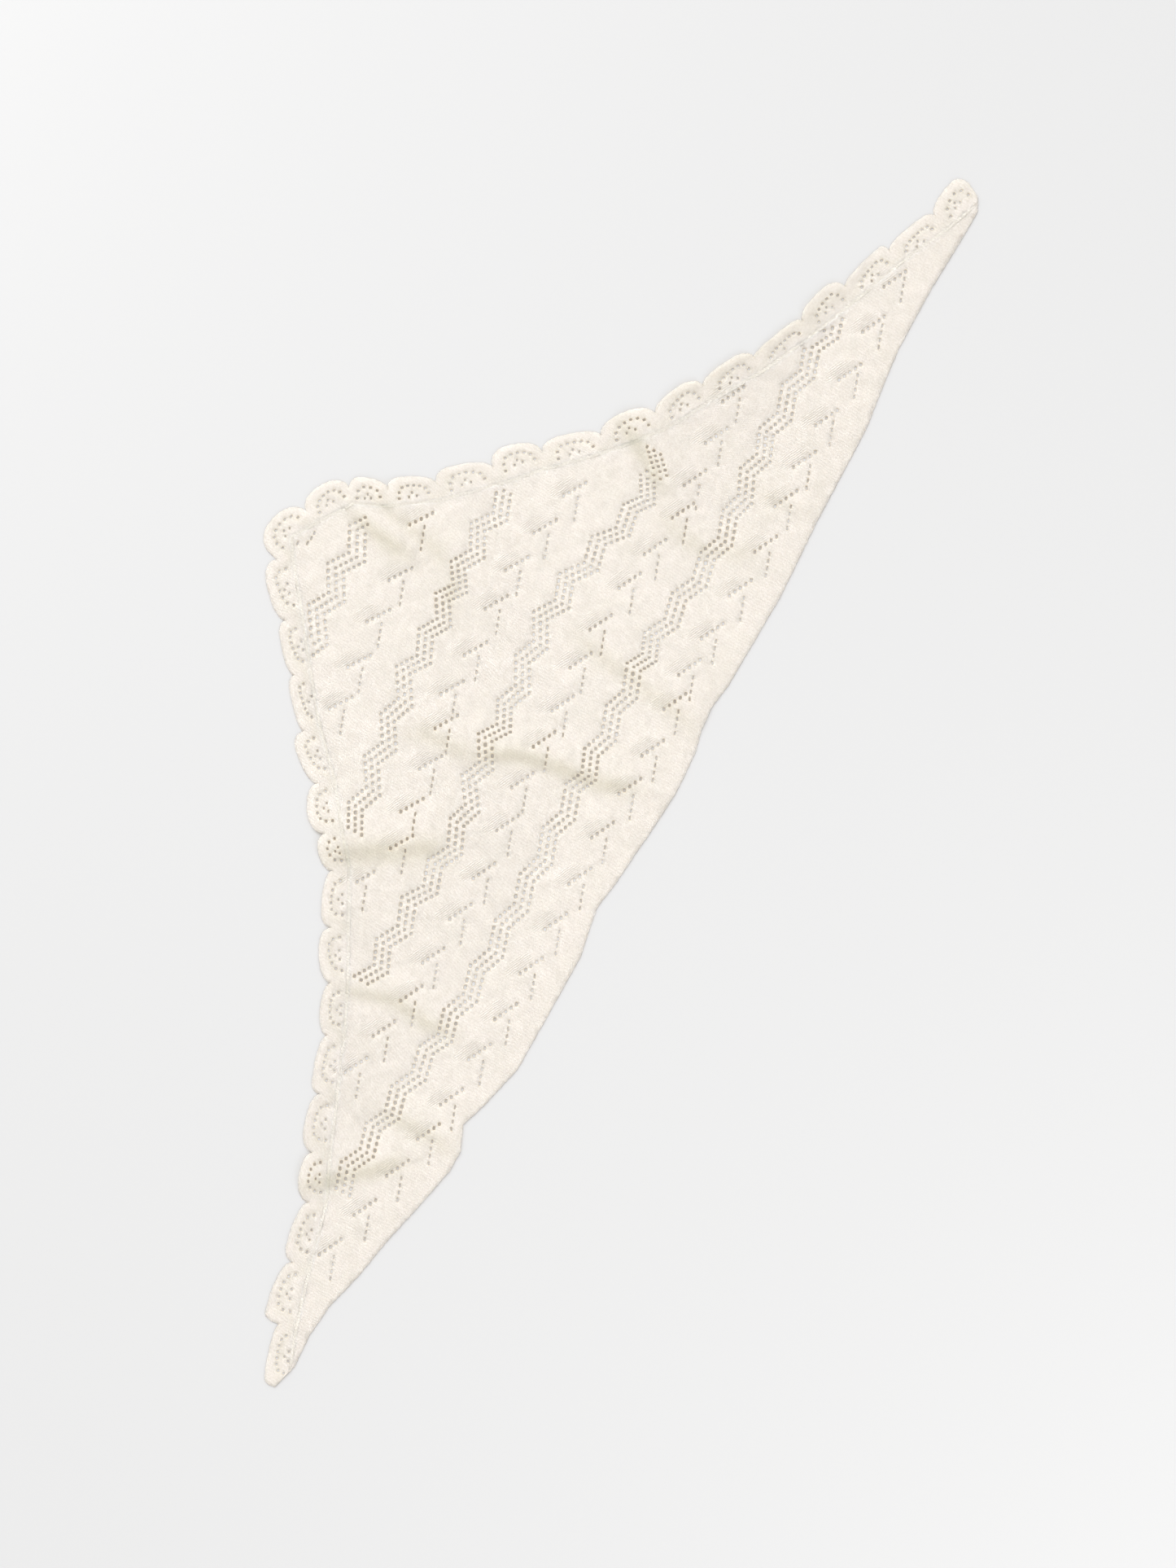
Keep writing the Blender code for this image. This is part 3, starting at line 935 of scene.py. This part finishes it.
def rippled(line, size=0.35):
    """The slight waviness that stitches give an edge."""
    return [(x + rng.uniform(-size, size), y + rng.uniform(-size, size)) for x, y in line]


low_end, high_end = SEAM_STARTS[0], SEAM_ENDS[0]
bottom = resampled([SEAM_STARTS] + long_edge_part(low_end, high_end) + [SEAM_ENDS], 3.0)
panel_loop = [bottom[0]] + rippled(bottom[1:-1]) + SEAM[::-1][:-1]
join = moved_aside(SEAM, SEAM_GAP)
edging_loop = ([LONG_EDGE[0]] + join
               + rippled(long_edge_part(high_end + 0.5, LONG_EDGE[-1][0])) + rippled(OUTER[::-1]))

def well_inside(points, loop, margin):
    return points[inside(points, loop) & (near_line(points, loop)[0] > margin)]


rib_points = []
for band in BANDS:
    for row in RIB_ROWS:
        rib_points += resampled(band_line(band, row), 3.4)
rib_points = well_inside(np.array(rib_points), panel_loop, 2.5)
rim_points = well_inside(np.array(moved_aside(resampled(OUTER, 3.0), -4.0)), edging_loop, 1.8)

panel_eyelets = spaced(band_eyelets() + motif_eyelets(), panel_loop, PANEL_LEAST, PANEL_MARGIN)
edging_eyelets = spaced(scallop_eyelets(), edging_loop, EDGING_LEAST, EDGING_MARGIN)
panel = shell("lace_cloth", panel_loop, panel_eyelets, PANEL_STEP, rib_points, panel_lift)
edging = shell("edging_cloth", edging_loop, edging_eyelets, EDGING_STEP, rim_points, edging_lift)
for cloth, name, tint in ((panel, "panel wool", (0.985, 0.975, 0.975)),
                          (edging, "edging wool", (0.99, 0.98, 0.98))):
    # The walls in the eyelets get a darker copy of the wool, with painted shade
    eyelet_shade_tint = tuple(c * share for c, share in zip(tint, EYELET_PAINTED_SHADE))
    cloth.data.materials.append(wool(name, tint, SEE_THROUGH))
    cloth.data.materials.append(wool(name + " back", tint, BACK_SEE_THROUGH, PASSED_BY_BACK))
    cloth.data.materials.append(wool(name + " painted shade in eyelets", eyelet_shade_tint, EYELET_SEE_THROUGH))

ridge = linked_ridge("linked_seam")
ridge.data.materials.append(wool("linked wool", (0.90, 0.87, 0.825), SEE_THROUGH))
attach(ridge, "root")

for cloth, cad, slot in ((panel, "lace_panel", "panel_wool"),
                         (edging, "scalloped_edging", "edging_wool")):
    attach(cloth, "root")
    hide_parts(cad)

bpy.ops.mesh.primitive_plane_add(size=30, location=(0, 0, 0))
floor = bpy.context.object
floor.name = "floor"
floor.data.materials.append(plain("floor paper", (0.350, 0.349, 0.349)))

# Camera straight above, turned as the photograph is
TURN = math.radians(-60)
SEEN_HIGH = 1.8297
SEEN_MIDDLE = (-19.8, 35.2)
LENS, SENSOR = 85, 36
camera_data = bpy.data.cameras.new("camera")
camera_data.lens = LENS
camera_data.sensor_width = SENSOR
camera = bpy.data.objects.new("camera", camera_data)
bpy.context.scene.collection.objects.link(camera)
bpy.context.scene.camera = camera
aim = (np.array(SEEN_MIDDLE) - MIDDLE) * MM
camera.location = (aim[0], aim[1], SEEN_HIGH / (SENSOR / LENS))
camera.rotation_euler = (0, 0, TURN)
camera_data.clip_end = 60


# Soft studio light
def pointed(place, at):
    return (Vector(at) - Vector(place)).to_track_quat("-Z", "Y").to_euler()


def lamp(name, place, size, power, aim_at):
    data = bpy.data.lights.new(name, "AREA")
    data.shape = "DISK"
    data.size = size
    data.energy = power
    made = bpy.data.objects.new(name, data)
    bpy.context.scene.collection.objects.link(made)
    made.location = place
    made.rotation_euler = pointed(place, aim_at)
    return made


def from_picture(right, up, high):
    """A place given by the picture's own right and up, in metres from its middle."""
    c, s = math.cos(TURN), math.sin(TURN)
    return (aim[0] + right * c - up * s, aim[1] + right * s + up * c, high)


sun_data = bpy.data.lights.new("key", "SUN")
sun_data.energy = 2.85
sun_data.angle = math.radians(50)
key = bpy.data.objects.new("key", sun_data)
bpy.context.scene.collection.objects.link(key)
key.rotation_euler = pointed(from_picture(-0.35, 1.3, 1.25), (0, 0, 0))
near = lamp("near", from_picture(-1.8, 2.0, 1.3), 1.4, 30, from_picture(-1.0, 1.3, 0))
far = lamp("far", from_picture(1.8, -2.0, 1.3), 1.4, 27, from_picture(1.0, -1.3, 0))
world = bpy.data.worlds.new("studio")
bpy.context.scene.world = world
world.use_nodes = True
world.node_tree.nodes["Background"].inputs["Color"].default_value = (1, 1, 1, 1)
world.node_tree.nodes["Background"].inputs["Strength"].default_value = 1.5
bpy.context.scene.view_settings.view_transform = "Standard"
